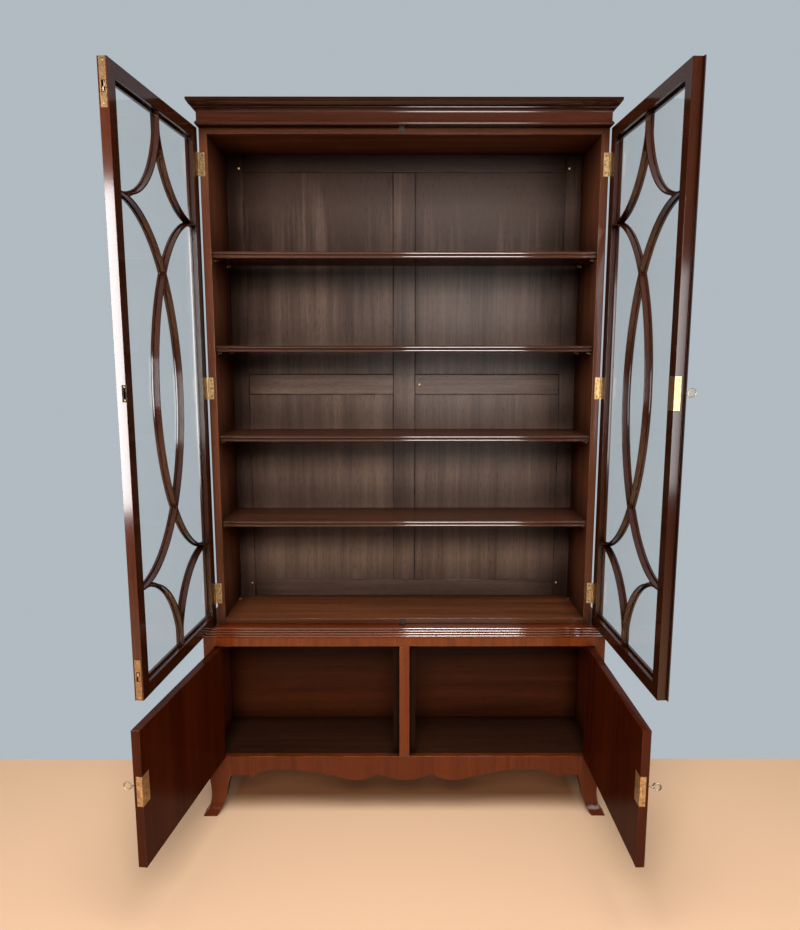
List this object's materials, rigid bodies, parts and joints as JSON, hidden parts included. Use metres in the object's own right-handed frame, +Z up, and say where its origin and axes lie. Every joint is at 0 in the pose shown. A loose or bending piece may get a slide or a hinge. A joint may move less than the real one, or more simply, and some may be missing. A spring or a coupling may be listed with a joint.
{
  "type": "display cabinet",
  "caption": "Glazed display bookcase on a low cupboard base with shaped apron and splayed feet, shown with its doors open.",
  "frame": {"origin": "on the floor, under the middle of the box that the cabinet takes with its doors open; the plane of its back is 0.424 m behind it", "axes": "+X to the right seen from the front, +Y to the back, +Z up"},
  "size_m": [1.3281, 0.8483, 2.08],
  "materials": {
    "mahogany": "polished red-brown mahogany",
    "crossbanded_front": "polished cross-grained veneer",
    "back_boards": "dark grey-brown, satin",
    "secondary_wood": "stained, matt",
    "brass": "aged satin brass",
    "glass": "clear polished"
  },
  "bodies": {
    "carcass": {"upper_left_side": "mahogany", "upper_right_side": "mahogany", "upper_top_board": "mahogany", "upper_bottom_board": "mahogany", "shelf_1": "mahogany", "shelf_2": "mahogany", "shelf_3": "mahogany", "shelf_4": "mahogany", "back_frame": "back_boards", "back_panels": "back_boards", "shelf_pegs": "brass", "cornice_front": "mahogany", "cornice_returns": "mahogany", "cornice_back_rail": "secondary_wood", "cornice_top_board": "secondary_wood", "base_top": "mahogany", "base_left_side": "mahogany", "base_right_side": "mahogany", "base_floor": "secondary_wood", "base_back": "secondary_wood", "base_top_rail": "crossbanded_front", "base_end_stiles": "crossbanded_front", "base_centre_stile": "crossbanded_front", "door_stop_batten": "mahogany", "aprons": "crossbanded_front", "front_feet": "crossbanded_front", "rear_feet": "crossbanded_front", "fixed_hinge_leaves": "brass", "hinge_pins": "brass", "bolt_keepers": "brass", "fixing_screws": "brass"},
    "left_glazed_door": {"left_door_stiles": "mahogany", "left_door_rails": "mahogany", "left_glazing_bars": "mahogany", "left_glass_panes": "glass", "left_door_hinge_leaves": "brass", "flush_bolt_plates": "brass", "strike_plate": "brass"},
    "right_glazed_door": {"right_door_stiles": "mahogany", "right_door_rails": "mahogany", "right_glazing_bars": "mahogany", "right_glass_panes": "glass", "right_door_hinge_leaves": "brass", "cover_bead": "mahogany", "right_door_lock": "brass"},
    "left_cupboard_door": {"left_cupboard_door": "mahogany", "left_cupboard_hinge_leaves": "brass", "left_cupboard_lock": "brass"},
    "right_cupboard_door": {"right_cupboard_door": "mahogany", "right_cupboard_hinge_leaves": "brass", "right_cupboard_lock": "brass"},
    "top_flush_bolt_body": {"top_flush_bolt": "brass"},
    "bottom_flush_bolt_body": {"bottom_flush_bolt": "brass"},
    "right_door_key_body": {"right_door_key": "brass"},
    "right_door_lock_bolt_body": {"right_door_lock_bolt": "brass"},
    "left_cupboard_key_body": {"left_cupboard_key": "brass"},
    "left_cupboard_lock_bolt_body": {"left_cupboard_lock_bolt": "brass"},
    "right_cupboard_key_body": {"right_cupboard_key": "brass"},
    "right_cupboard_lock_bolt_body": {"right_cupboard_lock_bolt": "brass"}
  },
  "joints": [
    {"name": "left_glazed_door_hinge", "type": "hinge", "parent": "carcass", "child": "left_glazed_door", "pos_m": [-0.565, 0.1685, 0.6035], "axis": [0, 0, -1], "range_deg": [-94.9, 83.1]},
    {"name": "right_glazed_door_hinge", "type": "hinge", "parent": "carcass", "child": "right_glazed_door", "pos_m": [0.565, 0.1685, 0.6035], "axis": [0, 0, 1], "range_deg": [-92.8, 85.2]},
    {"name": "left_cupboard_door_hinge", "type": "hinge", "parent": "carcass", "child": "left_cupboard_door", "pos_m": [-0.571, 0.131, 0.189], "axis": [0, 0, -1], "range_deg": [-97.5, 77.5]},
    {"name": "right_cupboard_door_hinge", "type": "hinge", "parent": "carcass", "child": "right_cupboard_door", "pos_m": [0.571, 0.131, 0.189], "axis": [0, 0, 1], "range_deg": [-90.8, 84.2]},
    {"name": "top_flush_bolt_slide", "type": "slide", "parent": "left_glazed_door", "child": "top_flush_bolt_body", "axis": [0, 0, 1], "range_m": [0, 0.012]},
    {"name": "bottom_flush_bolt_slide", "type": "slide", "parent": "left_glazed_door", "child": "bottom_flush_bolt_body", "axis": [0, 0, -1], "range_m": [0, 0.012]},
    {"name": "right_door_key_turn", "type": "hinge", "parent": "right_glazed_door", "child": "right_door_key_body", "pos_m": [0.61343, -0.37128, 1.321], "axis": [-0.9988, -0.0488, 0], "range_deg": [0, 360]},
    {"name": "right_door_bolt_slide", "type": "slide", "parent": "right_glazed_door", "child": "right_door_lock_bolt_body", "axis": [0.0488, -0.9988, 0], "range_m": [0, 0.007]},
    {"name": "left_cupboard_key_turn", "type": "hinge", "parent": "left_cupboard_door", "child": "left_cupboard_key_body", "pos_m": [-0.63747, -0.39684, 0.387], "axis": [-0.9914, 0.1305, 0], "range_deg": [0, 360]},
    {"name": "left_cupboard_bolt_slide", "type": "slide", "parent": "left_cupboard_door", "child": "left_cupboard_lock_bolt_body", "axis": [-0.1305, -0.9914, 0], "range_m": [0, 0.007]},
    {"name": "right_cupboard_key_turn", "type": "hinge", "parent": "right_cupboard_door", "child": "right_cupboard_key_body", "pos_m": [0.57543, -0.40099, 0.387], "axis": [-0.9999, -0.014, 0], "range_deg": [0, 360]},
    {"name": "right_cupboard_bolt_slide", "type": "slide", "parent": "right_cupboard_door", "child": "right_cupboard_lock_bolt_body", "axis": [0.014, -0.9999, 0], "range_m": [0, 0.007]}
  ],
  "couplings": [
    {"joint": "right_door_bolt_slide", "follows": "right_door_key_turn", "m_per_rad": 0.0011141},
    {"joint": "left_cupboard_bolt_slide", "follows": "left_cupboard_key_turn", "m_per_rad": 0.0011141},
    {"joint": "right_cupboard_bolt_slide", "follows": "right_cupboard_key_turn", "m_per_rad": 0.0011141}
  ]
}
